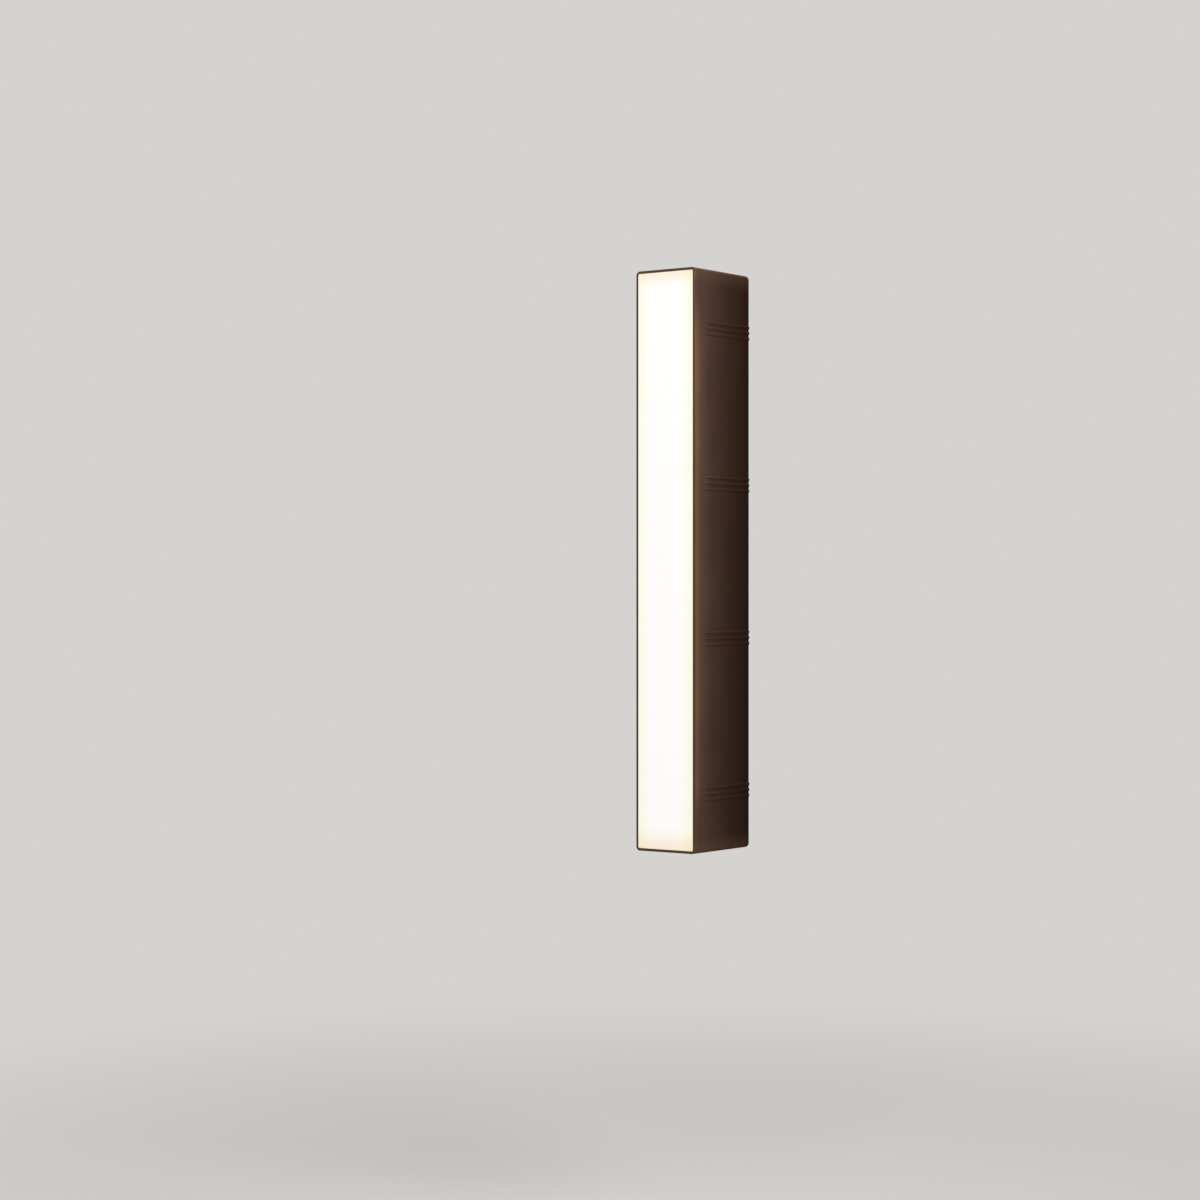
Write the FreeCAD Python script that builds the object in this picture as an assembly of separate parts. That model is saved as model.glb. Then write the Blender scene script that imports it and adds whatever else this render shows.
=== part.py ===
import FreeCAD
import Part
import math
import os

# Outdoor wall light: a slim cast box with a lit opal front and a clear window at each end.
# Millimetres. The back is the plane y = 0, the front faces -y and z is up.
# The origin is the middle of the wall bracket's back face.

Vector = FreeCAD.Vector

# Whole light
height = 406.0
width = 50.0
depth = 70.0

# Housing casting
rim_wall = 1.7              # round the opal panel
body_wall = 3.6             # behind the seal ledge
rear_wall = 3.0
rear_recess = 10.0          # back of the light to rear wall
rear_rim = 7.5              # width of the rim round the recess
corner_radius = 3.0         # end edges and rear edges
front_edge_radius = 0.8
inside_radius = 2.0         # corners of the cavity and the recess
gear_space = 28.0           # rear wall to tray
post_diameter = 7.0
pad_diameter = 8.0
pad_height = 4.0            # pads under the LED brackets
earth_pad_height = 3.0

# Raised beads on both sides
bead_group_count = 4
bead_count = 3              # in each group
bead_pitch = 4.0
bead_radius = 1.6
bead_sink = 1.0             # depth of the bead's centre under the side face
bead_end_inset = 41.0       # end of the light to the middle of the outermost group
bead_front_inset = 4.0
bead_rear_inset = 1.2       # the beads run off on the rounded rear edge
bead_rise = 14.0            # length over which a bead rises from the side face at its front
bead_tip = 1.0              # length of the taper at its rear
bead_tip_radius = 0.95      # less than the sink, so that a bead starts under the side face

# Opal panel
panel_thickness = 3.0
panel_edge_radius = 0.4
skirt_depth = 6.0
skirt_wall = 1.5
hook_count = 5              # on each long side
hook_width = 12.0
hook_height = 2.0
hook_reach = 1.2
hook_end_inset = 40.0       # end of the light to the middle of the outermost hook

# Seals
seal_thickness = 1.0        # panel gasket and glass gaskets
wall_seal_width = 2.5
wall_seal_thickness = 3.0

# Tray
tray_sheet = 1.2
tray_flare = 3.0            # how far each side leans out
lip_depth = 7.0             # upright edge round the tray

# Front LED board
board_thickness = 1.6
board_end_gap = 4.0
led_pitch = 10.5
led_width = 2.8
led_length = 3.5
led_height = 0.8
board_screw_count = 5
board_screw_edge = 3.6      # edge of the board to the middle of a screw
board_screw_inset = 12.0    # end of the board to its outermost screw

# End windows and their light stacks
glass_overlap = 3.0         # glass past the window's edge
glass_thickness = 3.0
glass_radius = 4.0
window_chamfer = 0.8
reflector_height = 22.0
reflector_wall = 1.5
reflector_foot = 12.0       # inside width at the LED
end_board_width = 30.0
end_board_depth = 18.0
end_led_width = 10.0
end_led_base = 0.8
end_led_radius = 0.5
end_led_dome = 8.0
end_led_dome_height = 0.6
end_screw_x = 11.8
bracket_sheet = 2.0
bracket_leg = 30.0
bracket_screw_x = 10.0
bracket_screw_inset = 8.0   # end of the leg to its screws

# Driver and terminal
driver_width = 30.0
driver_depth = 21.0
driver_radius = 2.5
ear_length = 8.0
ear_width = 14.0
ear_thickness = 3.0
gear_spacing = 22.0         # cable entry to the driver and to the terminal
post_spacing = 12.0         # LED bracket's leg to the middle of a tray post
terminal_width = 28.0
terminal_depth = 14.0
terminal_length = 22.0
pole_count = 3
pole_pitch = 9.0
wire_level = 6.0            # tray to the wire holes
wire_hole = 4.4
wire_hole_depth = 8.0
clamp_screw_z = 5.5
clamp_screw_diameter = 4.0
clamp_screw_length = 5.0
clamp_slot = 0.8
terminal_floor = 5.0        # under its fixing screws

# Supply entry, vent and earth, all in the rear wall
grommet_bore = 8.0
grommet_neck = 13.0
grommet_flange = 17.0
grommet_lip = 2.0
vent_z = -108.0
vent_neck = 7.0
vent_head = 11.0
vent_head_height = 2.5
vent_collar = 8.4
vent_collar_height = 1.2
vent_slot = 1.2
earth_z = -84.0
earth_tag_sheet = 0.8
earth_tag_diameter = 9.0
earth_tag_width = 5.0
earth_tag_length = 14.0

# Wall bracket
plate_sheet = 2.0
tab_width = 20.0
bend_radius = 1.0           # inside of each bend
slot_count = 2
slot_spacing = 200.0        # between the wall slots
slot_width = 5.0
slot_length = 14.0
cable_window_width = 24.0
cable_window_height = 40.0
window_radius = 5.0
bracket_screw_y = -6.0
screw_sink = 3.5            # depth of the pocket that hides the screw head

# Leads
lead_diameter = 3.0
supply_lead_diameter = 4.0
lead_bend = 7.0
bend_share = 0.45           # most of a run that one bend may use
lead_hole = 5.0
lead_post_gap = 1.75        # tray post to the leads between the posts
lead_stub = 10.0            # straight run at each end of a lead
lead_wall_gap = 3.5         # side wall to the long run beside the gear
lead_rear_gap = 9.0         # rear wall to the long run
lead_slack = 5.0

# Clearances
panel_gap = 0.2             # panel and gaskets to the casting
skirt_gap = 0.5             # skirt to the casting
lip_gap = 0.2               # tray lip to the skirt
hook_play = 0.3
stack_gap = 0.5             # light stack to the tray, walls and rear wall
screw_play = 0.05           # shank to a threaded hole
hole_play = 0.2             # shank to a plain hole
plate_gap = 0.3             # wall bracket to the recess
tip_room = 1.0              # blind hole past the screw's tip

# Screws: shank diameter, head diameter and head height
small_screw = (3.0, 5.5, 2.0)
tiny_screw = (2.5, 4.5, 1.6)
large_screw = (4.0, 7.0, 2.8)
post_screw_length = 10.0
pad_screw_length = 8.0
earth_screw_length = 6.0
bracket_screw_length = 11.0
drive_ratio = 0.62          # cross recess to head diameter
drive_width = 0.16          # its blade to head diameter
drive_depth = 0.55          # its depth to head height

# Places worked out from the sizes above
half = height / 2
side = width / 2
front_y = -depth
rear_y = -rear_recess                      # back of the rear wall
floor_y = rear_y - rear_wall               # inside of the rear wall
tray_y = floor_y - gear_space              # back of the tray
base_y = tray_y - tray_sheet               # front of the tray's base
panel_y = front_y + panel_thickness        # back of the panel
ledge_y = panel_y + seal_thickness
skirt_y = panel_y + skirt_depth
lip_y = panel_y + seal_thickness           # front edge of the tray
cavity_width = width - 2 * body_wall
cavity_height = height - 2 * body_wall
pocket_width = width - 2 * rim_wall
pocket_height = height - 2 * rim_wall
pocket_radius = corner_radius - rim_wall
skirt_width = cavity_width - 2 * skirt_gap
skirt_height = cavity_height - 2 * skirt_gap
lip_width = skirt_width - 2 * (skirt_wall + lip_gap)
lip_height = skirt_height - 2 * (skirt_wall + lip_gap)
base_width = lip_width - 2 * tray_flare
base_height = lip_height - 2 * tray_flare
board_length = base_height - 2 * (tray_sheet + board_end_gap)
board_y = base_y - board_thickness         # front of the long LED board
stack_y = floor_y - gear_space / 2         # middle of the end windows
glass_depth = gear_space - 2 * stack_gap
glass_width = cavity_width - 2 * inside_radius
bracket_width = glass_width
window_depth = glass_depth - 2 * glass_overlap
window_width = glass_width - 2 * glass_overlap
seal_z = half - body_wall                  # inside of the end wall
glass_top_z = seal_z - seal_thickness
glass_z = glass_top_z - glass_thickness
foot_z = glass_z - reflector_height
plate_z = foot_z - board_thickness         # top of the LED bracket
leg_z = plate_z - bracket_leg
pad_z = leg_z + bracket_screw_inset
pad_y = floor_y - pad_height
post_x = base_width / 2 - tray_sheet - small_screw[1] / 2 - stack_gap
front_board_width = 2 * post_x - small_screw[1] - 2 * stack_gap
post_z = leg_z - post_spacing
lead_x = post_x - post_diameter / 2 - lead_post_gap - lead_diameter / 2
driver_top_z = post_z - post_diameter / 2 - 2 * stack_gap
driver_length = driver_top_z - gear_spacing
terminal_z = -gear_spacing - terminal_length / 2
wire_y = tray_y + wire_level
lead_y = tray_y + driver_depth / 2         # where leads leave the driver
lead_side_x = cavity_width / 2 - lead_wall_gap
recess_width = width - 2 * rear_rim
recess_height = height - 2 * rear_rim
plate_width = recess_width - 2 * plate_gap
plate_height = recess_height - 2 * plate_gap
tab_y = rear_y + stack_gap
bead_group_pitch = (height - 2 * bead_end_inset) / (bead_group_count - 1)
hook_pitch = (height - 2 * hook_end_inset) / (hook_count - 1)


def spread(count, pitch):
    """Places of equal steps about the middle."""
    return [(i - (count - 1) / 2) * pitch for i in range(count)]


def outline(normal, level, span_a, span_b, radius, centre=(0.0, 0.0)):
    """Closed rounded rectangle square to one axis; its spans follow the other two axes in x, y, z order."""
    place = {
        "x": lambda a, b: Vector(level, a, b),
        "y": lambda a, b: Vector(a, level, b),
        "z": lambda a, b: Vector(a, b, level),
    }[normal]
    quarter = math.pi / 2
    arcs = []
    for turn, (sign_a, sign_b) in enumerate([(1, 1), (-1, 1), (-1, -1), (1, -1)]):
        a = centre[0] + sign_a * (span_a / 2 - radius)
        b = centre[1] + sign_b * (span_b / 2 - radius)
        angles = [(turn + part) * quarter for part in (0, 1 / 2, 1)]
        arcs.append([place(a + radius * math.cos(angle), b + radius * math.sin(angle)) for angle in angles])
    edges = []
    for arc, following in zip(arcs, arcs[1:] + arcs[:1]):
        if radius > 0:
            edges.append(Part.Arc(*arc).toShape())
        if not arc[-1].isEqual(following[0], screw_play):
            edges.append(Part.makeLine(arc[-1], following[0]))
    return Part.Wire(edges)


def prism(normal, start, end, span_a, span_b, radius, centre=(0.0, 0.0)):
    """Rounded rectangle carried from one level to another."""
    along = {"x": Vector(1, 0, 0), "y": Vector(0, 1, 0), "z": Vector(0, 0, 1)}[normal]
    face = Part.Face(outline(normal, start, span_a, span_b, radius, centre))
    return face.extrude(along * (end - start))


def taper(*outlines):
    """Solid with flat sides between outlines."""
    return Part.makeLoft(list(outlines), True, True)


def block(x0, x1, y0, y1, z0, z1):
    """Box between two corners."""
    return Part.makeBox(x1 - x0, y1 - y0, z1 - z0, Vector(x0, y0, z0))


def disc_y(x, z, start, end, diameter):
    """Cylinder along y."""
    return Part.makeCylinder(diameter / 2, abs(end - start), Vector(x, min(start, end), z), Vector(0, 1, 0))


def disc_z(x, y, start, end, diameter):
    """Cylinder along z."""
    return Part.makeCylinder(diameter / 2, abs(end - start), Vector(x, y, min(start, end)))


def mirrored(shape):
    """The same piece at the lower end."""
    return shape.mirror(Vector(0, 0, 0), Vector(0, 0, 1))


def screw(kind, seat, towards, length):
    """Pan-head screw with a cross recess: the head sits at the seat and the shank points one way."""
    shank, head, rise = kind
    body = Part.makeCylinder(head / 2, rise)
    rims = [e for e in body.Edges if e.BoundBox.ZMin > rise / 2 and e.BoundBox.ZLength < rise / 2]
    body = body.makeChamfer(rise / 3, rims)
    sink = rise * (1 - drive_depth)
    reach, blade = head * drive_ratio / 2, head * drive_width / 2
    body = body.cut(block(-reach, reach, -blade, blade, sink, rise))
    body = body.cut(block(-blade, blade, -reach, reach, sink, rise))
    body = body.fuse(Part.makeCylinder(shank / 2, length, Vector(0, 0, 0), Vector(0, 0, -1)))
    body.Placement = FreeCAD.Placement(seat, FreeCAD.Rotation(Vector(0, 0, -1), towards))
    return body


def lead(points, diameter):
    """Round lead along straight runs joined by tangent arcs."""
    edges = []
    last = points[0]
    for before, corner, after in zip(points, points[1:], points[2:]):
        inward = (corner - before).normalize()
        onward = (after - corner).normalize()
        half_turn = inward.getAngle(onward) / 2
        room = bend_share * min((corner - before).Length, (after - corner).Length)
        tangent = min(lead_bend * math.tan(half_turn), room)
        bend = tangent / math.tan(half_turn)
        bisector = (onward - inward).normalize()
        middle = corner + bisector * (bend / math.cos(half_turn) - bend)
        start, end = corner - inward * tangent, corner + onward * tangent
        edges.append(Part.makeLine(last, start))
        edges.append(Part.Arc(start, middle, end).toShape())
        last = end
    edges.append(Part.makeLine(last, points[-1]))
    section = Part.Wire([Part.makeCircle(diameter / 2, points[0], points[1] - points[0])])
    return Part.Wire(edges).makePipeShell([section], True, False)


def outer_box():
    """Plain outside of the casting with its rounded edges."""
    body = block(-side, side, front_y, 0, -half, half)
    long_edges = [e for e in body.Edges if e.BoundBox.YLength > depth / 2 or e.BoundBox.YMin > front_y / 2]
    body = body.makeFillet(corner_radius, long_edges)
    rim = [e for e in body.Edges if e.BoundBox.YMax < front_y + front_edge_radius]
    return body.makeFillet(front_edge_radius, rim)


def beads():
    """Groups of fine beads along both sides: each rises gently at its front and tapers off at its rear."""
    rods = []
    start = front_y + bead_front_inset
    end = -bead_rear_inset
    for group_z in spread(bead_group_count, bead_group_pitch):
        for step in spread(bead_count, bead_pitch):
            for x in (bead_sink - side, side - bead_sink):
                z = group_z + step
                rod = disc_y(x, z, start + bead_rise, end - bead_tip, 2 * bead_radius)
                tapers = [
                    Part.makeCone(bead_tip_radius, bead_radius, length, Vector(x, y, z), Vector(0, way, 0))
                    for y, way, length in ((start, 1, bead_rise), (end, -1, bead_tip))
                ]
                rods.append(rod.multiFuse(tapers))
    return rods


def end_window():
    """Opening in the upper end wall, with a chamfered mouth."""
    centre = (0.0, stack_y)
    opening = prism("z", seal_z, half, window_width, window_depth, inside_radius, centre)
    mouth = taper(
        outline("z", half - window_chamfer, window_width, window_depth, inside_radius, centre),
        outline("z", half, window_width + 2 * window_chamfer, window_depth + 2 * window_chamfer,
                inside_radius + window_chamfer, centre),
    )
    return opening.fuse(mouth)


def bracket_screw_hole():
    """Hole and head pocket for the fixing screw in the upper rim."""
    shank, head, _ = large_screw
    hole = disc_z(0, bracket_screw_y, half - rear_rim, half, shank + 2 * hole_play)
    pocket = disc_z(0, bracket_screw_y, half - screw_sink, half, head + 4 * hole_play)
    return hole.fuse(pocket)


def pilot(x, z, mouth_y, kind, length):
    """Blind hole for a screw that enters from the front."""
    return disc_y(x, z, mouth_y, mouth_y + length + tip_room, kind[0] + 2 * screw_play)


def housing():
    body = outer_box().multiFuse(beads())
    cuts = [
        prism("y", front_y, ledge_y, pocket_width, pocket_height, pocket_radius),
        prism("y", ledge_y, floor_y, cavity_width, cavity_height, inside_radius),
        prism("y", rear_y, 0, recess_width, recess_height, inside_radius),
        prism("y", -wall_seal_thickness, 0, recess_width + 2 * wall_seal_width,
              recess_height + 2 * wall_seal_width, inside_radius),
        disc_y(0, 0, rear_y, floor_y, grommet_neck),
        disc_y(0, vent_z, rear_y, floor_y, vent_neck),
        end_window(),
        mirrored(end_window()),
        bracket_screw_hole(),
        mirrored(bracket_screw_hole()),
    ]
    body = body.cut(cuts)
    posts = [disc_y(0, earth_z, floor_y, floor_y - earth_pad_height, pad_diameter)]
    pilots = [pilot(0, earth_z, floor_y - earth_pad_height, large_screw,
                    earth_screw_length - earth_tag_sheet)]
    for x_sign in (-1, 1):
        for z_sign in (-1, 1):
            posts.append(disc_y(x_sign * post_x, z_sign * post_z, floor_y, tray_y, post_diameter))
            posts.append(disc_y(x_sign * bracket_screw_x, z_sign * pad_z, floor_y, pad_y, pad_diameter))
            pilots.append(pilot(x_sign * post_x, z_sign * post_z, tray_y, small_screw,
                                post_screw_length - tray_sheet))
            pilots.append(pilot(x_sign * bracket_screw_x, z_sign * pad_z, pad_y, small_screw,
                                pad_screw_length - bracket_sheet))
    return body.multiFuse(posts).cut(pilots).removeSplitter()


def hook(x_sign, z):
    """Wedge on the inside of the skirt that snaps into the tray's lip."""
    inner = skirt_width / 2 - skirt_wall
    catch_y = skirt_y - hook_height
    corners = [(inner, catch_y), (inner - hook_reach, catch_y), (inner, skirt_y), (inner, catch_y)]
    face = Part.Face(Part.makePolygon([Vector(x_sign * x, y, z - hook_width / 2) for x, y in corners]))
    return face.extrude(Vector(0, 0, hook_width))


def front_diffuser():
    gap = 2 * panel_gap
    panel = prism("y", front_y, panel_y, pocket_width - gap, pocket_height - gap, pocket_radius - panel_gap)
    rim = [e for e in panel.Edges if e.BoundBox.YMax < front_y + panel_thickness / 2]
    panel = panel.makeFillet(panel_edge_radius, rim)
    skirt = prism("y", panel_y, skirt_y, skirt_width, skirt_height, inside_radius)
    inner = prism("y", panel_y, skirt_y, skirt_width - 2 * skirt_wall, skirt_height - 2 * skirt_wall,
                  inside_radius - skirt_wall)
    hooks = [hook(x_sign, z) for x_sign in (-1, 1) for z in spread(hook_count, hook_pitch)]
    return panel.multiFuse([skirt.cut(inner)] + hooks).removeSplitter()


def diffuser_gasket():
    gap = 2 * panel_gap
    ring = prism("y", panel_y, ledge_y, pocket_width - gap, pocket_height - gap, pocket_radius - panel_gap)
    return ring.cut(prism("y", panel_y, ledge_y, cavity_width, cavity_height, inside_radius))


def tray_form(inset, back_y):
    """Flared tub with an upright lip, drawn in by the inset."""
    turn_y = lip_y + lip_depth
    lip = outline("y", turn_y, lip_width - 2 * inset, lip_height - 2 * inset, 0)
    base = outline("y", back_y, base_width - 2 * inset, base_height - 2 * inset, 0)
    edge = prism("y", lip_y, turn_y, lip_width - 2 * inset, lip_height - 2 * inset, 0)
    return taper(lip, base).fuse(edge)


def led_tray():
    tray = tray_form(0, tray_y).cut(tray_form(tray_sheet, base_y))
    cuts = [disc_y(-lead_x, post_z, tray_y, base_y, lead_hole)]
    catch_y = skirt_y - hook_height - hook_play
    for z in spread(hook_count, hook_pitch):
        reach = hook_width / 2 + hook_play
        cuts.append(block(-side, side, catch_y, skirt_y + hook_play, z - reach, z + reach))
    for x in (-post_x, post_x):
        for z in (-post_z, post_z):
            cuts.append(disc_y(x, z, tray_y, base_y, small_screw[0] + 2 * hole_play))
    for x, z in board_screw_places() + driver_screw_places() + terminal_screw_places():
        cuts.append(disc_y(x, z, tray_y, base_y, small_screw[0] + 2 * screw_play))
    return tray.cut(cuts)


def tray_screws():
    return Part.makeCompound([
        screw(small_screw, Vector(x, base_y, z), Vector(0, 1, 0), post_screw_length)
        for x in (-post_x, post_x) for z in (-post_z, post_z)
    ])


def board_screw_places():
    """Screws near one edge of the board, each midway between two LEDs."""
    steps = board_screw_count // 2
    pitch = led_pitch * ((board_length / 2 - board_screw_inset) / steps // led_pitch)
    return [(front_board_width / 2 - board_screw_edge, z) for z in spread(board_screw_count, pitch)]


def front_led_board():
    board = prism("y", board_y, base_y, front_board_width, board_length, inside_radius)
    holes = [disc_y(x, z, board_y, base_y, small_screw[0] + 2 * hole_play) for x, z in board_screw_places()]
    return board.cut(holes)


def front_leds():
    count = 2 * int(board_length / 2 // led_pitch)
    return Part.makeCompound([
        block(-led_width / 2, led_width / 2, board_y - led_height, board_y,
              z - led_length / 2, z + led_length / 2)
        for z in spread(count, led_pitch)
    ])


def front_board_screws():
    return Part.makeCompound([
        screw(small_screw, Vector(x, board_y, z), Vector(0, 1, 0), board_thickness + tray_sheet)
        for x, z in board_screw_places()
    ])


def driver_screw_places():
    return [(0.0, gear_spacing + ear_length / 2), (0.0, driver_top_z - ear_length / 2)]


def driver():
    """Sealed case with an ear at each end."""
    middle = (tray_y + driver_depth / 2, gear_spacing + driver_length / 2)
    case = prism("x", -driver_width / 2, driver_width / 2, driver_depth, driver_length - 2 * ear_length,
                 driver_radius, middle)
    ears = prism("y", tray_y, tray_y + ear_thickness, ear_width, driver_length, inside_radius,
                 (0.0, middle[1]))
    holes = [disc_y(x, z, tray_y, tray_y + ear_thickness, small_screw[0] + 2 * hole_play)
             for x, z in driver_screw_places()]
    return case.fuse(ears).cut(holes)


def driver_screws():
    seat_y = tray_y + ear_thickness
    length = ear_thickness + tray_sheet
    return Part.makeCompound([
        screw(small_screw, Vector(x, seat_y, z), Vector(0, -1, 0), length)
        for x, z in driver_screw_places()
    ])


def terminal_screw_places():
    return [(-pole_pitch / 2, terminal_z), (pole_pitch / 2, terminal_z)]


def clamp_places():
    return [(x, terminal_z + z) for x in spread(pole_count, pole_pitch)
            for z in (-clamp_screw_z, clamp_screw_z)]


def terminal_block():
    """Three-way block: wire holes in its ends, clamp screws and fixing holes from behind."""
    back_y = tray_y + terminal_depth
    body = prism("y", tray_y, back_y, terminal_width, terminal_length, inside_radius, (0.0, terminal_z))
    cuts = []
    for x in spread(pole_count, pole_pitch):
        for z_sign in (-1, 1):
            mouth = terminal_z + z_sign * terminal_length / 2
            cuts.append(disc_z(x, wire_y, mouth, mouth - z_sign * wire_hole_depth, wire_hole))
    for x, z in clamp_places():
        cuts.append(disc_y(x, z, wire_y, back_y, clamp_screw_diameter + 2 * screw_play))
    for x, z in terminal_screw_places():
        cuts.append(disc_y(x, z, tray_y, back_y, small_screw[0] + 2 * hole_play))
        cuts.append(disc_y(x, z, tray_y + terminal_floor, back_y, small_screw[1] + 2 * hole_play))
    return body.cut(cuts)


def terminal_clamp_screws():
    """Slotted screws that stand on the wires' holes."""
    back_y = wire_y + wire_hole / 2
    screws = []
    for x, z in clamp_places():
        top_y = back_y + clamp_screw_length
        pin = disc_y(x, z, back_y, top_y, clamp_screw_diameter)
        slot = block(x - clamp_screw_diameter, x + clamp_screw_diameter, top_y - clamp_slot, top_y,
                     z - clamp_slot / 2, z + clamp_slot / 2)
        screws.append(pin.cut(slot))
    return Part.makeCompound(screws)


def terminal_fixing_screws():
    return Part.makeCompound([
        screw(small_screw, Vector(x, tray_y + terminal_floor, z), Vector(0, -1, 0),
              terminal_floor + tray_sheet)
        for x, z in terminal_screw_places()
    ])


def upper_glass():
    return prism("z", glass_z, glass_top_z, glass_width, glass_depth, glass_radius, (0.0, stack_y))


def upper_glass_gasket():
    ring = prism("z", glass_top_z, seal_z, glass_width, glass_depth, glass_radius, (0.0, stack_y))
    return ring.cut(prism("z", glass_top_z, seal_z, window_width, window_depth, inside_radius,
                          (0.0, stack_y)))


def upper_reflector():
    """Tapered box under the glass, with a flange that carries the glass."""
    centre = (0.0, stack_y)
    skin = 2 * reflector_wall
    flange = prism("z", glass_z - reflector_wall, glass_z, glass_width, glass_depth, glass_radius, centre)
    shell = taper(
        outline("z", foot_z, reflector_foot + skin, reflector_foot + skin, 0, centre),
        outline("z", glass_z, window_width + skin, window_depth + skin, 0, centre),
    )
    hollow = taper(
        outline("z", foot_z, reflector_foot, reflector_foot, 0, centre),
        outline("z", glass_z, window_width, window_depth, 0, centre),
    )
    return flange.fuse(shell).cut(hollow)


def upper_led_board():
    board = prism("z", plate_z, foot_z, end_board_width, end_board_depth, inside_radius, (0.0, stack_y))
    holes = [disc_z(x, stack_y, plate_z, foot_z, tiny_screw[0] + 2 * hole_play)
             for x in (-end_screw_x, end_screw_x)]
    return board.cut(holes)


def upper_led():
    """Square package with a round lit spot."""
    top_z = foot_z + end_led_base
    package = prism("z", foot_z, top_z, end_led_width, end_led_width, end_led_radius, (0.0, stack_y))
    return package.fuse(disc_z(0, stack_y, top_z, top_z + end_led_dome_height, end_led_dome))


def upper_led_bracket():
    """Folded sheet: a plate under the LED board and a leg down to the pads."""
    back_y = pad_y
    reach = back_y - (tray_y + stack_gap)
    outer_radius = bend_radius + bracket_sheet
    outer = prism("x", -bracket_width / 2, bracket_width / 2, 2 * reach, 2 * bracket_leg, outer_radius,
                  (back_y - reach, plate_z - bracket_leg))
    inner = prism("x", -bracket_width / 2, bracket_width / 2, 2 * reach, 2 * bracket_leg, bend_radius,
                  (back_y - reach - bracket_sheet, plate_z - bracket_leg - bracket_sheet))
    kept = block(-bracket_width / 2, bracket_width / 2, tray_y + stack_gap, back_y, leg_z, plate_z)
    cuts = [disc_z(lead_x, lead_y, plate_z - bracket_sheet, plate_z, lead_hole)]
    for x in (-end_screw_x, end_screw_x):
        cuts.append(disc_z(x, stack_y, plate_z - bracket_sheet, plate_z, tiny_screw[0] + 2 * screw_play))
    for x in (-bracket_screw_x, bracket_screw_x):
        cuts.append(disc_y(x, pad_z, back_y - bracket_sheet, back_y, small_screw[0] + 2 * hole_play))
    return outer.cut(inner).common(kept).cut(cuts)


def led_bracket_screws():
    return Part.makeCompound([
        screw(small_screw, Vector(x, pad_y - bracket_sheet, z), Vector(0, 1, 0), pad_screw_length)
        for x in (-bracket_screw_x, bracket_screw_x) for z in (-pad_z, pad_z)
    ])


def led_board_screws():
    upper = [screw(tiny_screw, Vector(x, stack_y, foot_z), Vector(0, 0, -1), board_thickness + bracket_sheet)
             for x in (-end_screw_x, end_screw_x)]
    return Part.makeCompound(upper + [mirrored(piece) for piece in upper])


def supply_grommet():
    """Rubber ring with a neck in the rear wall and a lip on each face."""
    neck = disc_y(0, 0, floor_y, rear_y, grommet_neck)
    lips = [disc_y(0, 0, rear_y, rear_y + grommet_lip, grommet_flange),
            disc_y(0, 0, floor_y - grommet_lip, floor_y, grommet_flange)]
    bore = disc_y(0, 0, floor_y - grommet_lip, rear_y + grommet_lip, grommet_bore)
    return neck.multiFuse(lips).cut(bore)


def breather_vent():
    """Plug with a slotted head behind the rear wall and a snap collar inside it."""
    head_y = rear_y + vent_head_height
    neck = disc_y(0, vent_z, floor_y, rear_y, vent_neck)
    head = disc_y(0, vent_z, rear_y, head_y, vent_head)
    collar = disc_y(0, vent_z, floor_y - vent_collar_height, floor_y, vent_collar)
    floor, half_slot = head_y - vent_slot, vent_slot / 2
    slots = [
        block(-vent_head, vent_head, floor, head_y, vent_z - half_slot, vent_z + half_slot),
        block(-half_slot, half_slot, floor, head_y, vent_z - vent_head, vent_z + vent_head),
    ]
    return neck.multiFuse([head, collar]).cut(slots)


def earth_tag():
    """Ring tag with a tongue that points up to the terminal."""
    back_y = floor_y - earth_pad_height
    face_y = back_y - earth_tag_sheet
    ring = disc_y(0, earth_z, face_y, back_y, earth_tag_diameter)
    half_tag = earth_tag_width / 2
    tongue = block(-half_tag, half_tag, face_y, back_y, earth_z, earth_z + earth_tag_length)
    return ring.fuse(tongue).cut(disc_y(0, earth_z, face_y, back_y, large_screw[0] + 2 * hole_play))


def earth_screw():
    seat_y = floor_y - earth_pad_height - earth_tag_sheet
    return screw(large_screw, Vector(0, seat_y, earth_z), Vector(0, 1, 0), earth_screw_length)


def wall_bracket():
    """Steel strip with a tab folded forward at each end, two wall slots and a cable window."""
    half_plate = plate_width / 2
    outer = prism("x", -half_plate, half_plate, -2 * tab_y, plate_height, bend_radius + plate_sheet,
                  (tab_y, 0.0))
    inner = prism("x", -half_plate, half_plate, -2 * tab_y, plate_height - 2 * plate_sheet, bend_radius,
                  (tab_y - plate_sheet, 0.0))
    strip = outer.cut(inner)
    tabs = block(-tab_width / 2, tab_width / 2, tab_y, 0, -half, half)
    body = block(-half_plate, half_plate, -plate_sheet, 0, -half + rear_recess, half - rear_recess)
    strip = strip.common(tabs.fuse(body))
    shank = large_screw[0] + 2 * screw_play
    cuts = [
        prism("y", -plate_sheet, 0, cable_window_width, cable_window_height, window_radius),
        disc_z(0, bracket_screw_y, -half, half, shank),
    ]
    for z in spread(slot_count, slot_spacing):
        cuts.append(prism("y", -plate_sheet, 0, slot_width, slot_length, slot_width / 2, (0.0, z)))
    return strip.cut(cuts)


def bracket_screws():
    seat = Vector(0, bracket_screw_y, half - screw_sink)
    upper = screw(large_screw, seat, Vector(0, 0, -1), bracket_screw_length)
    return Part.makeCompound([upper, mirrored(upper)])


def wall_seal():
    ring = prism("y", -wall_seal_thickness, 0, recess_width + 2 * (wall_seal_width - panel_gap),
                 recess_height + 2 * (wall_seal_width - panel_gap), inside_radius)
    return ring.cut(prism("y", -wall_seal_thickness, 0, recess_width, recess_height, inside_radius))


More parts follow.
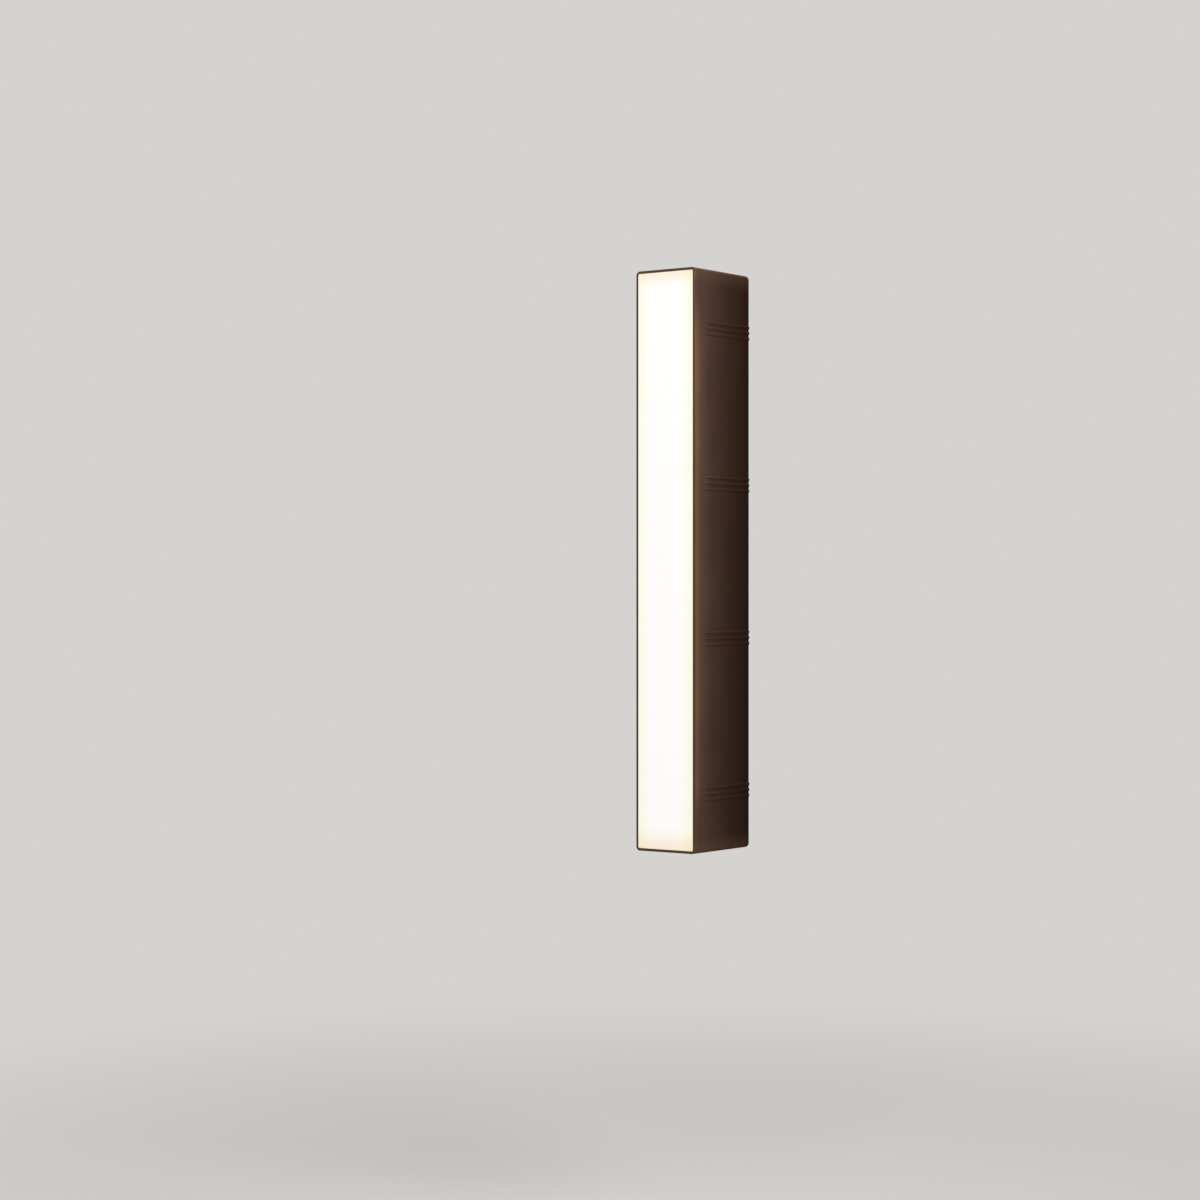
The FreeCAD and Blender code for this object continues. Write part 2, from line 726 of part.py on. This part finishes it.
def input_lead():
    """Terminal to driver, past the cable entry."""
    return lead([
        Vector(-pole_pitch, wire_y, -gear_spacing - wire_hole_depth / 2),
        Vector(-pole_pitch, wire_y, -gear_spacing + lead_stub),
        Vector(-pole_pitch, lead_y, gear_spacing - lead_stub / 2),
        Vector(-pole_pitch, lead_y, gear_spacing + ear_length),
    ], supply_lead_diameter)


def front_lead():
    """Driver to the back of the long LED board, through the tray."""
    return lead([
        Vector(-lead_x, lead_y, driver_top_z - ear_length),
        Vector(-lead_x, lead_y, post_z),
        Vector(-lead_x, base_y, post_z),
    ], lead_diameter)


def upper_lead():
    """Driver to the upper LED board, through its bracket."""
    low, high = driver_top_z - ear_length, plate_z
    return lead([
        Vector(lead_x, lead_y, low),
        Vector(lead_x, lead_y, low + lead_stub),
        Vector(lead_x, lead_y + lead_slack, (low + high) / 2),
        Vector(lead_x, lead_y, high - lead_stub),
        Vector(lead_x, lead_y, high),
    ], lead_diameter)


def lower_lead():
    """Driver to the lower LED board, beside the terminal."""
    low, run_y = gear_spacing + ear_length, floor_y - lead_rear_gap
    return lead([
        Vector(pole_pitch, lead_y, low),
        Vector(pole_pitch, lead_y, low - lead_stub),
        Vector(lead_side_x, run_y, low - 2 * lead_stub),
        Vector(lead_side_x, run_y, -leg_z),
        Vector(lead_x, lead_y, lead_stub - plate_z),
        Vector(lead_x, lead_y, -plate_z),
    ], lead_diameter)


def earth_lead():
    """Earth tag to the terminal."""
    start_z = earth_z + earth_tag_length
    tag_y = floor_y - earth_pad_height - earth_tag_sheet - lead_diameter / 2
    mouth_z = terminal_z - terminal_length / 2
    return lead([
        Vector(0, tag_y, start_z - earth_tag_width),
        Vector(0, tag_y, start_z),
        Vector(pole_pitch, wire_y, mouth_z - lead_stub),
        Vector(pole_pitch, wire_y, mouth_z + wire_hole_depth / 2),
    ], lead_diameter)


whole_pieces = [
    housing, front_diffuser, diffuser_gasket, led_tray, tray_screws, front_led_board, front_leds,
    front_board_screws, driver, driver_screws, terminal_block, terminal_clamp_screws,
    terminal_fixing_screws, led_bracket_screws, led_board_screws, supply_grommet, breather_vent,
    earth_tag, earth_screw, wall_bracket, bracket_screws, wall_seal, input_lead, front_lead,
    upper_lead, lower_lead, earth_lead,
]
paired_pieces = [
    upper_glass, upper_glass_gasket, upper_reflector, upper_led_board, upper_led, upper_led_bracket,
]

os.makedirs("parts", exist_ok=True)
for make in whole_pieces:
    make().exportStep("parts/" + make.__name__ + ".step")
for make in paired_pieces:
    upper = make()
    upper.exportStep("parts/" + make.__name__ + ".step")
    mirrored(upper).exportStep("parts/" + make.__name__.replace("upper", "lower") + ".step")
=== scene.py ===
import math
import bmesh
import bpy
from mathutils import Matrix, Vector


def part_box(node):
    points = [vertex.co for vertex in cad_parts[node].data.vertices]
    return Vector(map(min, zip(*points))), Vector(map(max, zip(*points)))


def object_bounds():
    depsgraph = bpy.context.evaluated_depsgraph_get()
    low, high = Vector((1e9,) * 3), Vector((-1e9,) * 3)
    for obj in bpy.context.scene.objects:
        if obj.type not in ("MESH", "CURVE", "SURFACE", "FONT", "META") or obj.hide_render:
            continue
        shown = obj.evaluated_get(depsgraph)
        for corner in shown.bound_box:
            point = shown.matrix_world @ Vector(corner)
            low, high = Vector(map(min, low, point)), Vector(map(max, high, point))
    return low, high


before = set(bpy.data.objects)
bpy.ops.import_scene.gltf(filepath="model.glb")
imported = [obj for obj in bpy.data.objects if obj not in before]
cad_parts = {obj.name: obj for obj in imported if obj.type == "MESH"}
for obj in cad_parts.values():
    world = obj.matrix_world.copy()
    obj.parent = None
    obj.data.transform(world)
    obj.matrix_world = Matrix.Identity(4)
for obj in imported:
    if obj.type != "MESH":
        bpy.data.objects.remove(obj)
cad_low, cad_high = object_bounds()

# Metres, in the CAD frame: the back is the plane y = 0, the front faces -y and z is up.
MM = 0.001

# Camera: level, and fitted to the edges of the light in the photograph
photo_pixels = 1200
focal_pixels = 2683.6
sensor_width = 36.0
camera_azimuth = math.radians(36.359)
camera_place = (1.0707, -1.6009, -0.0273)

# Stage: the floor keeps its shadow near the light and runs into the background further off
background = (0.66, 0.65, 0.635, 1.0)
ambient_colour = (1.0, 0.99, 0.97, 1.0)
ambient = 0.45
floor_level = -0.46
floor_radius = 9.0
haze_start = 0.20
haze_end = 1.1

# Noise: the weight of its finer octaves, and the ranges that most and nearly all values lie in
noise_roughness = 0.55
noise_middle = (0.3, 0.7)
noise_range = (0.25, 0.75)

# Bronze coat with painted light: a dark front rim, a painted highlight on the front edge and painted
# shade deepening towards the back; its tones, and how far behind the front of the housing each one
# lies
bronze_rim = (0.085, 0.045, 0.026, 1.0)
bronze_edge_highlight = (0.235, 0.122, 0.082, 1.0)
bronze_front = (0.128, 0.076, 0.057, 1.0)
bronze_side = (0.083, 0.0495, 0.038, 1.0)
bronze_rear_shade = (0.0415, 0.0258, 0.0194, 1.0)
bronze_back_shade = (0.0145, 0.0084, 0.0052, 1.0)
rim_depth = 0.21 * MM
edge_depth = 1.12 * MM
front_depth = 7.0 * MM
side_depth = 17.5 * MM
rear_depth = 42.0 * MM

# Painted highlight: a paler band beside both ends of the housing; it stops a fine line short of the
# end edges
bronze_end_highlight = (0.210, 0.130, 0.092, 1.0)
end_highlight_share = 0.18
end_line = 1.2 * MM
end_band = 13.0 * MM

# The painted highlight on the front edge fades towards both ends
dull_share = 0.7
dull_depth = 20.0 * MM
dull_start = 15.0 * MM
dull_end = 55.0 * MM

# The coat's sheen, gloss and mottle, its flecks, its relief, and the painted shade in the valleys
# beside the beads
bronze_sheen = (0.60, 0.38, 0.26, 1.0)
bronze_gloss = (0.42, 0.50)
bronze_deep_and_crevice_shade = (0.022, 0.011, 0.007, 1.0)
mottle_size = 40 * MM
mottle_share = 0.2
bronze_fleck = (0.150, 0.085, 0.055, 1.0)
fleck_size = 0.5 * MM
fleck_share = 0.2
fleck_noise = (0.62, 0.8)
peel_size = 1.4 * MM
peel_relief = 0.04 * MM
bronze_grain_size = 0.35 * MM
bronze_grain_relief = 0.016 * MM
bead_shade_reach = 2.2 * MM
crevice_shade_range = (0.60, 1.0)

# Lit opal panel: its glow, the tints that its borders lean towards, and how far they reach in
opal_glow = (0.745, 0.738, 0.737, 1.0)
opal_cream = (0.70, 0.63, 0.145, 1.0)
opal_amber = (0.64, 0.46, 0.14, 1.0)
top_fade = 11 * MM
foot_fade = 17 * MM
side_fade = 12 * MM
end_glow = 0.55
side_glow = 0.70

# The panel's body, which is faintly clouded, and its grain
opal_body = (0.22, 0.215, 0.20, 1.0)
opal_body_pale = (0.25, 0.245, 0.23, 1.0)
opal_cloud_size = 6 * MM
opal_grain_size = 0.3 * MM
opal_grain_relief = 0.008 * MM

# The light's own sizes
panel_low, panel_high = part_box("front_diffuser")
housing_low, housing_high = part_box("housing")


def add(tree, kind, **values):
    """A node: names with a capital are sockets, the others are the node's own settings."""
    node = tree.nodes.new(kind)
    for name, value in values.items():
        if name[0].isupper():
            node.inputs[name.replace("_", " ")].default_value = value
        else:
            setattr(node, name, value)
    return node


def math_node(tree, operation, first, second=None):
    """The output of a Math node; each input is a socket or a number."""
    node = add(tree, "ShaderNodeMath", operation=operation)
    for socket, value in zip(node.inputs, (first, second)):
        if isinstance(value, (int, float)):
            socket.default_value = value
        elif value is not None:
            tree.links.new(value, socket)
    return node.outputs[0]


def place(tree):
    """Object coordinates, which are the CAD frame's metres."""
    return add(tree, "ShaderNodeTexCoord").outputs["Object"]


def axis_value(tree, axis):
    """One of the object coordinates."""
    split = add(tree, "ShaderNodeSeparateXYZ")
    tree.links.new(place(tree), split.inputs[0])
    return split.outputs[axis]


def edge_distance(tree, axis, low, high):
    """Distance inwards from the nearer of two planes."""
    middle = math_node(tree, "SUBTRACT", axis_value(tree, axis), (low + high) / 2)
    return math_node(tree, "SUBTRACT", (high - low) / 2, math_node(tree, "ABSOLUTE", middle))


def stretched(tree, scale):
    """Object coordinates, drawn out along the axes by one over the scale."""
    mapping = add(tree, "ShaderNodeMapping", Scale=scale)
    tree.links.new(place(tree), mapping.inputs["Vector"])
    return mapping.outputs["Vector"]


def noise(tree, size, detail=2.0, where=None):
    """Noise whose features are about this size, from 0 to 1."""
    node = add(tree, "ShaderNodeTexNoise", Scale=1.0 / size, Detail=detail, Roughness=noise_roughness)
    tree.links.new(where or place(tree), node.inputs["Vector"])
    return node.outputs["Fac"]


def spread(tree, value, source, target):
    """Maps the source range smoothly to the target range; each is a start and an end."""
    node = add(tree, "ShaderNodeMapRange", interpolation_type="SMOOTHSTEP")
    sockets = ("From Min", "From Max", "To Min", "To Max")
    for socket, number in zip(sockets, source + target):
        node.inputs[socket].default_value = number
    tree.links.new(value, node.inputs["Value"])
    return node.outputs["Result"]


def blend(tree, factor, first, second):
    """A colour between two, each a socket or a colour."""
    node = add(tree, "ShaderNodeMix", data_type="RGBA")
    tree.links.new(factor, node.inputs["Factor"])
    sockets = [socket for socket in node.inputs if socket.type == "RGBA"]
    for socket, colour in zip(sockets, (first, second)):
        if isinstance(colour, tuple):
            socket.default_value = colour
        else:
            tree.links.new(colour, socket)
    return next(socket for socket in node.outputs if socket.type == "RGBA")


def bump(tree, height, relief, under=None):
    """A bump normal whose full height is the relief in metres."""
    node = add(tree, "ShaderNodeBump", Strength=1.0, Distance=relief)
    tree.links.new(height, node.inputs["Height"])
    if under is not None:
        tree.links.new(under, node.inputs["Normal"])
    return node.outputs["Normal"]


def surface(name, **constants):
    """A material with its Principled shader; the constants are set on the shader's sockets."""
    material = bpy.data.materials.new(name)
    material.use_nodes = True
    shader = material.node_tree.nodes["Principled BSDF"]
    for socket, value in constants.items():
        shader.inputs[socket.replace("_", " ")].default_value = value
    return material, material.node_tree, shader


def wire(tree, shader, **sources):
    """Links each source to the shader's socket of that name."""
    for socket, source in sources.items():
        tree.links.new(source, shader.inputs[socket.replace("_", " ")])


def painted_light_by_depth(tree):
    """Painted light by depth: dark front rim, a painted highlight on the front edge, and painted
    shade deeper and deeper towards the back.
    """
    full_depth = housing_high.y - housing_low.y
    depth = math_node(tree, "SUBTRACT", axis_value(tree, "Y"), housing_low.y)
    ramp = add(tree, "ShaderNodeValToRGB")
    tree.links.new(math_node(tree, "DIVIDE", depth, full_depth), ramp.inputs["Fac"])
    tones = (bronze_rim, bronze_edge_highlight, bronze_front, bronze_side, bronze_rear_shade, bronze_back_shade)
    depths = (rim_depth, edge_depth, front_depth, side_depth, rear_depth, full_depth)
    stops = ramp.color_ramp.elements
    while len(stops) < len(tones):
        stops.new(position=0.5)
    for stop, tone, tone_depth in zip(stops, tones, depths):
        stop.position = tone_depth / full_depth
        stop.color = tone
    return ramp.outputs["Color"]


def fade_front_highlight(tree):
    """How far the painted highlight on the front edge fades to the side's tone towards both ends."""
    inwards = edge_distance(tree, "Z", housing_low.z, housing_high.z)
    depth = math_node(tree, "SUBTRACT", axis_value(tree, "Y"), housing_low.y)
    near_end = spread(tree, inwards, (dull_start, dull_end), (dull_share, 0.0))
    near_front = spread(tree, depth, (front_depth, dull_depth), (1.0, 0.0))
    return math_node(tree, "MULTIPLY", near_end, near_front)


def painted_end_highlight(tree):
    """How much of the painted highlight shows beside the two ends."""
    inwards = edge_distance(tree, "Z", housing_low.z, housing_high.z)
    fade = spread(tree, inwards, (end_line, end_band), (end_highlight_share, 0.0))
    past_line = spread(tree, inwards, (0.0, end_line), (0.0, 1.0))
    return math_node(tree, "MULTIPLY", fade, past_line)


def painted_crevice_shade(tree, reach):
    """Painted shade: 1 in the valleys beside raised details, 0 on open faces."""
    shelter = add(tree, "ShaderNodeAmbientOcclusion", Distance=reach, samples=8)
    return spread(tree, shelter.outputs["AO"], crevice_shade_range, (1.0, 0.0))


def bronze_coat():
    """Satin bronze: fine orange peel, metal flecks, a faint mottle, painted highlights on the front
    edge and ends, and painted shade towards the back and in the crevices.
    """
    material, tree, shader = surface(
        "bronze_coat", Metallic=0.7, Specular_IOR_Level=0.06, Specular_Tint=bronze_sheen
    )
    mottle = noise(tree, mottle_size, detail=3.0)
    shade = spread(tree, mottle, noise_middle, (0.0, mottle_share))
    # Painted highlight on the front edge and beside the ends, painted shade deepening towards the
    # back
    tone = blend(tree, fade_front_highlight(tree), painted_light_by_depth(tree), bronze_side)
    with_end_highlight = blend(tree, painted_end_highlight(tree), tone, bronze_end_highlight)
    coat = blend(tree, shade, with_end_highlight, bronze_deep_and_crevice_shade)
    fleck = spread(tree, noise(tree, fleck_size, detail=1.0), fleck_noise, (0.0, fleck_share))
    flecked = blend(tree, fleck, coat, bronze_fleck)
    # Painted shade in the valleys beside the beads and in other recesses
    colour = blend(tree, painted_crevice_shade(tree, bead_shade_reach), flecked, bronze_deep_and_crevice_shade)
    peel = bump(tree, noise(tree, peel_size), peel_relief)
    fine_noise = noise(tree, bronze_grain_size, detail=1.0)
    grain = bump(tree, fine_noise, bronze_grain_relief, under=peel)
    gloss = spread(tree, mottle, noise_range, bronze_gloss)
    wire(tree, shader, Base_Color=colour, Roughness=gloss, Normal=grain)
    return material


def panel_light(tree):
    """The panel's glow: even in the middle, creamy along its sides and amber towards its ends."""
    level = axis_value(tree, "Z")
    inwards = edge_distance(tree, "X", panel_low.x, panel_high.x)
    from_top = spread(tree, level, (panel_high.z - top_fade, panel_high.z), (1.0, end_glow))
    from_foot = spread(tree, level, (panel_low.z, panel_low.z + foot_fade), (end_glow, 1.0))
    from_side = spread(tree, inwards, (0.0, side_fade), (side_glow, 1.0))
    from_ends = math_node(tree, "MULTIPLY", from_top, from_foot)
    return blend(tree, from_ends, opal_amber, blend(tree, from_side, opal_cream, opal_glow))


def opal():
    """Lit opal panel, with a faintly clouded body and a fine grain."""
    material, tree, shader = surface("opal", Roughness=0.42, IOR=1.49, Emission_Strength=1.0)
    glow = panel_light(tree)
    body = blend(tree, noise(tree, opal_cloud_size), opal_body, opal_body_pale)
    grain = bump(tree, noise(tree, opal_grain_size, detail=1.0), opal_grain_relief)
    wire(tree, shader, Base_Color=body, Emission_Color=glow, Normal=grain)
    return material


def phosphor():
    """Yellow phosphor over a lit LED, with its fine grain."""
    warm_light = (1.0, 0.86, 0.60, 1.0)
    pale_light = (1.0, 0.95, 0.80, 1.0)
    deep_yellow = (0.80, 0.62, 0.16, 1.0)
    pale_yellow = (0.86, 0.72, 0.28, 1.0)
    cloud_size = 0.4 * MM
    relief = 0.02 * MM
    material, tree, shader = surface("phosphor", Roughness=0.5, Emission_Strength=2.2)
    cloud = noise(tree, cloud_size)
    glow = blend(tree, cloud, warm_light, pale_light)
    body = blend(tree, cloud, deep_yellow, pale_yellow)
    wire(tree, shader, Base_Color=body, Emission_Color=glow, Normal=bump(tree, cloud, relief))
    return material


def clear_glass():
    """Toughened window glass with a faint waviness and smudges."""
    tint = (0.97, 0.985, 0.98, 1.0)
    smudge_size = 6 * MM
    smudge_noise = (0.4, 0.8)
    smudge_gloss = (0.01, 0.05)
    wave_size = 25 * MM
    wave_relief = 0.05 * MM
    material, tree, shader = surface(
        "clear_glass", Base_Color=tint, IOR=1.5, Transmission_Weight=1.0
    )
    smudge = spread(tree, noise(tree, smudge_size, detail=4.0), smudge_noise, smudge_gloss)
    wave = bump(tree, noise(tree, wave_size), wave_relief)
    wire(tree, shader, Roughness=smudge, Normal=wave)
    return material


def striped_sheath():
    """Green and yellow earth lead."""
    green = (0.03, 0.20, 0.05, 1.0)
    yellow = (0.72, 0.55, 0.04, 1.0)
    slant = (1.0, 1.0, 0.35)
    stripe_edge = (0.45, 0.55)
    grain_size = 0.8 * MM
    relief = 0.02 * MM
    material, tree, shader = surface("earth_sheath", Roughness=0.4)
    stripe = add(tree, "ShaderNodeTexWave", Scale=60.0, Distortion=0.0)
    tree.links.new(stretched(tree, slant), stripe.inputs["Vector"])
    band = spread(tree, stripe.outputs["Fac"], stripe_edge, (0.0, 1.0))
    colour = blend(tree, band, green, yellow)
    grain = bump(tree, noise(tree, grain_size), relief)
    wire(tree, shader, Base_Color=colour, Normal=grain)
    return material


def zinc_crystals(tree):
    """Values of the zinc's ragged crystals: each crystal has its own red, green and blue."""
    crystal_size = 7 * MM
    wander_size = 5 * MM
    wander = 2.5 * MM
    bent = add(tree, "ShaderNodeVectorMath", operation="MULTIPLY_ADD")
    tree.links.new(noise(tree, wander_size), bent.inputs[0])
    bent.inputs[1].default_value = (wander, wander, wander)
    tree.links.new(place(tree), bent.inputs[2])
    crystals = add(tree, "ShaderNodeTexVoronoi", Scale=1.0 / crystal_size, Randomness=1.0)
    tree.links.new(bent.outputs[0], crystals.inputs["Vector"])
    own = add(tree, "ShaderNodeSeparateColor")
    tree.links.new(crystals.outputs["Color"], own.inputs[0])
    return own.outputs


def spangled_zinc():
    """Galvanised sheet: frosty crystals, each with its own shade and gloss."""
    dark = (0.47, 0.49, 0.51, 1.0)
    pale = (0.66, 0.67, 0.68, 1.0)
    crystal_gloss = (0.34, 0.48)
    crystal_share = 0.7
    frost_share = 0.3
    frost_size = 0.7 * MM
    frost_relief = 0.02 * MM
    material, tree, shader = surface("zinc_plate", Metallic=1.0)
    own = zinc_crystals(tree)
    frost = noise(tree, frost_size, detail=3.0)
    own_shade = math_node(tree, "MULTIPLY", own["Red"], crystal_share)
    frost_shade = math_node(tree, "MULTIPLY", frost, frost_share)
    colour = blend(tree, math_node(tree, "ADD", own_shade, frost_shade), dark, pale)
    gloss = spread(tree, own["Green"], (0.0, 1.0), crystal_gloss)
    grain = bump(tree, frost, frost_relief)
    wire(tree, shader, Base_Color=colour, Roughness=gloss, Normal=grain)
    return material


def speckled(name, dark, pale, size, roughness, relief):
    """A plain moulded or painted surface: two close shades, its own grain and an uneven gloss."""
    uneven = 0.06
    patch_size = size * 3
    grain_size = size / 4
    material, tree, shader = surface(name)
    cloud = spread(tree, noise(tree, size, detail=3.0), noise_middle, (0.0, 1.0))
    patches = noise(tree, patch_size)
    gloss = spread(tree, patches, noise_range, (roughness - uneven, roughness + uneven))
    grain = bump(tree, noise(tree, grain_size), relief)
    colour = blend(tree, cloud, dark, pale)
    wire(tree, shader, Base_Color=colour, Roughness=gloss, Normal=grain)
    return material


def drawn_metal(name, dark, pale, roughness, along):
    """Metal with fine marks drawn out along one axis."""
    smoother = 0.07
    duller = 0.09
    cloud_size = 9 * MM
    mark_size = 0.6 * MM
    mark_noise = (0.2, 0.8)
    mark_relief = 0.01 * MM
    material, tree, shader = surface(name, Metallic=1.0)
    cloud = spread(tree, noise(tree, cloud_size, detail=4.0), noise_middle, (0.0, 1.0))
    marks = noise(tree, mark_size, detail=3.0, where=stretched(tree, along))
    gloss = spread(tree, marks, mark_noise, (roughness - smoother, roughness + duller))
    grain = bump(tree, marks, mark_relief)
    colour = blend(tree, cloud, dark, pale)
    wire(tree, shader, Base_Color=colour, Roughness=gloss, Normal=grain)
    return material


def moulded_finishes():
    """Rubber, plastic, foam and painted sheet."""
    return [
        speckled("silicone", dark=(0.70, 0.70, 0.68, 1.0), pale=(0.78, 0.78, 0.76, 1.0),
                 size=3 * MM, roughness=0.55, relief=0.02 * MM),
        speckled("white_sheet", dark=(0.82, 0.82, 0.81, 1.0), pale=(0.88, 0.88, 0.87, 1.0),
                 size=2 * MM, roughness=0.45, relief=0.02 * MM),
        speckled("white_board", dark=(0.80, 0.80, 0.79, 1.0), pale=(0.87, 0.87, 0.86, 1.0),
                 size=1.5 * MM, roughness=0.35, relief=0.01 * MM),
        speckled("driver_case", dark=(0.74, 0.74, 0.73, 1.0), pale=(0.80, 0.80, 0.79, 1.0),
                 size=2 * MM, roughness=0.50, relief=0.03 * MM),
        speckled("terminal_nylon", dark=(0.66, 0.65, 0.60, 1.0), pale=(0.73, 0.72, 0.67, 1.0),
                 size=2 * MM, roughness=0.48, relief=0.02 * MM),
        speckled("black_rubber", dark=(0.014, 0.014, 0.014, 1.0), pale=(0.026, 0.026, 0.025, 1.0),
                 size=2 * MM, roughness=0.62, relief=0.03 * MM),
        speckled("black_nylon", dark=(0.018, 0.018, 0.019, 1.0), pale=(0.028, 0.028, 0.029, 1.0),
                 size=1.5 * MM, roughness=0.46, relief=0.02 * MM),
        speckled("grey_foam", dark=(0.060, 0.060, 0.062, 1.0), pale=(0.120, 0.120, 0.122, 1.0),
                 size=0.9 * MM, roughness=0.88, relief=0.25 * MM),
        speckled("lead_sheath", dark=(0.030, 0.030, 0.032, 1.0), pale=(0.045, 0.045, 0.047, 1.0),
                 size=2 * MM, roughness=0.45, relief=0.02 * MM),
        speckled("lead_white", dark=(0.74, 0.74, 0.72, 1.0), pale=(0.80, 0.80, 0.78, 1.0),
                 size=2 * MM, roughness=0.42, relief=0.02 * MM),
    ]


def drawn_finishes():
    """Bare metal and mirror film."""
    return [
        drawn_metal("screw_steel", dark=(0.52, 0.52, 0.51, 1.0), pale=(0.62, 0.61, 0.60, 1.0),
                    roughness=0.30, along=(1.0, 1.0, 0.3)),
        drawn_metal("bare_aluminium", dark=(0.76, 0.77, 0.78, 1.0), pale=(0.84, 0.85, 0.86, 1.0),
                    roughness=0.32, along=(0.06, 1.0, 1.0)),
        drawn_metal("mirror_film", dark=(0.88, 0.89, 0.90, 1.0), pale=(0.93, 0.94, 0.95, 1.0),
                    roughness=0.13, along=(1.0, 1.0, 0.5)),
        drawn_metal("brass", dark=(0.66, 0.47, 0.20, 1.0), pale=(0.76, 0.56, 0.26, 1.0),
                    roughness=0.30, along=(1.0, 1.0, 0.3)),
    ]


def plain_name(material):
    """The material's name without the number that a second one of that name is given."""
    return material.name.split(".")[0]


def dress_nodes():
    """Each CAD node keeps its shape and takes the finish named after its own slot."""
    made = [bronze_coat(), opal(), phosphor(), clear_glass(), striped_sheath(), spangled_zinc()]
    made += moulded_finishes() + drawn_finishes()
    finish = {plain_name(material): material for material in made}
    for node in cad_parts.values():
        for slot in node.material_slots:
            slot.material = finish[plain_name(slot.material)]


def seen_ray(tree):
    """1 for rays that show the background: camera, glossy and transmission rays."""
    path = add(tree, "ShaderNodeLightPath").outputs
    mirror = math_node(tree, "MAXIMUM", path["Is Glossy Ray"], path["Is Transmission Ray"])
    return math_node(tree, "MAXIMUM", path["Is Camera Ray"], mirror)


def mixed(tree, factor, first, second):
    """A shader between two."""
    both = add(tree, "ShaderNodeMixShader")
    for socket, source in zip(both.inputs, (factor, first.outputs[0], second.outputs[0])):
        tree.links.new(source, socket)
    return both.outputs[0]


def floor_material():
    """Pale paint near the light, and the background's own colour further off."""
    material = bpy.data.materials.new("floor")
    material.use_nodes = True
    tree = material.node_tree
    tree.nodes.clear()
    paint = add(tree, "ShaderNodeBsdfDiffuse", Color=background)
    haze = add(tree, "ShaderNodeEmission", Color=background, Strength=1.0)
    distance = add(tree, "ShaderNodeVectorMath", operation="LENGTH")
    tree.links.new(place(tree), distance.inputs[0])
    far = spread(tree, distance.outputs["Value"], (haze_start, haze_end), (0.0, 1.0))
    look = mixed(tree, math_node(tree, "MULTIPLY", far, seen_ray(tree)), paint, haze)
    tree.links.new(look, add(tree, "ShaderNodeOutputMaterial").inputs["Surface"])
    return material


def make_floor():
    """A wide disc under the light."""
    shape = bmesh.new()
    bmesh.ops.create_circle(shape, cap_ends=True, radius=floor_radius, segments=96)
    mesh = bpy.data.meshes.new("floor")
    shape.to_mesh(mesh)
    shape.free()
    mesh.materials.append(floor_material())
    floor = bpy.data.objects.new("floor", mesh)
    floor.location.z = floor_level
    bpy.context.scene.collection.objects.link(floor)


def make_world():
    """The pale background, and an even fill of soft light."""
    world = bpy.data.worlds.new("studio")
    world.use_nodes = True
    tree = world.node_tree
    tree.nodes.clear()
    fill = add(tree, "ShaderNodeBackground", Color=ambient_colour, Strength=ambient)
    seen = add(tree, "ShaderNodeBackground", Color=background, Strength=1.0)
    look = mixed(tree, seen_ray(tree), fill, seen)
    tree.links.new(look, add(tree, "ShaderNodeOutputWorld").inputs["Surface"])
    bpy.context.scene.world = world


def softbox(name, azimuth, elevation, distance, width, height, watts):
    """An area light that looks at the middle of the object; 0 degrees is straight in front."""
    turn = math.radians(azimuth)
    rise = math.radians(elevation)
    level = math.cos(rise)
    away = Vector((math.sin(turn) * level, -math.cos(turn) * level, math.sin(rise)))
    data = bpy.data.lights.new(name, "AREA")
    data.shape = "RECTANGLE"
    data.size = width
    data.size_y = height
    data.energy = watts
    lamp = bpy.data.objects.new(name, data)
    lamp.location = (cad_low + cad_high) / 2 + away * distance
    lamp.rotation_euler = (-away).to_track_quat("-Z", "Y").to_euler()
    lamp.visible_camera = False
    bpy.context.scene.collection.objects.link(lamp)


def make_lights():
    """A tall soft key in front, a small box high on the right, and wide ones left and behind."""
    softbox("key", azimuth=24, elevation=14, distance=0.75, width=0.30, height=1.00, watts=2.4)
    softbox("right", azimuth=80, elevation=38, distance=0.60, width=0.35, height=0.35, watts=2.2)
    softbox("fill", azimuth=-60, elevation=22, distance=1.8, width=1.2, height=1.2, watts=8.0)
    softbox("back", azimuth=190, elevation=30, distance=1.8, width=1.4, height=1.4, watts=9.0)


def make_camera():
    """A level camera at the photograph's place and angle."""
    data = bpy.data.cameras.new("camera")
    data.sensor_width = sensor_width
    data.lens = focal_pixels / photo_pixels * sensor_width
    camera = bpy.data.objects.new("camera", data)
    camera.location = camera_place
    camera.rotation_euler = (math.pi / 2, 0.0, camera_azimuth)
    bpy.context.scene.collection.objects.link(camera)
    bpy.context.scene.camera = camera


dress_nodes()
make_floor()
make_world()
make_lights()
make_camera()
bpy.context.scene.view_settings.view_transform = "Standard"
